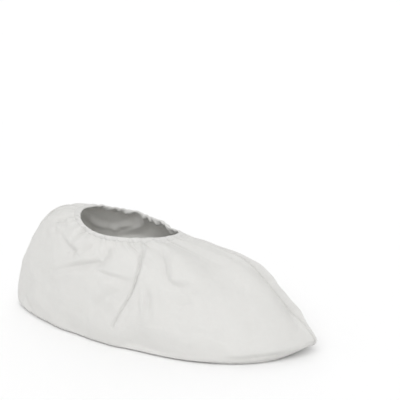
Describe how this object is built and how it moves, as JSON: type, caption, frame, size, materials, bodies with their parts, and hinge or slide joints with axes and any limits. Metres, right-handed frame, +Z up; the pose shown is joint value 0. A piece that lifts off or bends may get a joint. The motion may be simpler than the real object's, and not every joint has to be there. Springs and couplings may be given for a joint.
{
  "type": "shoe cover",
  "caption": "Soft disposable shoe cover: a bag of coated non-woven cloth with a gathered elastic ankle hem, an overlocked instep seam and a heel seam.",
  "frame": {"origin": "middle of the footprint, on the surface that the cover stands on", "axes": "+X from heel to toe, +Y to the inner side of the foot, +Z up"},
  "size_m": [0.3065, 0.135, 0.1034],
  "materials": {
    "cloth": "satin white film-coated non-woven",
    "hem": "gathered non-woven casing",
    "seam": "white overlock thread over two layers of non-woven"
  },
  "bodies": {
    "root": {"body": "cloth", "elastic_hem": "hem", "front_seam": "seam", "heel_seam": "seam"}
  },
  "joints": []
}
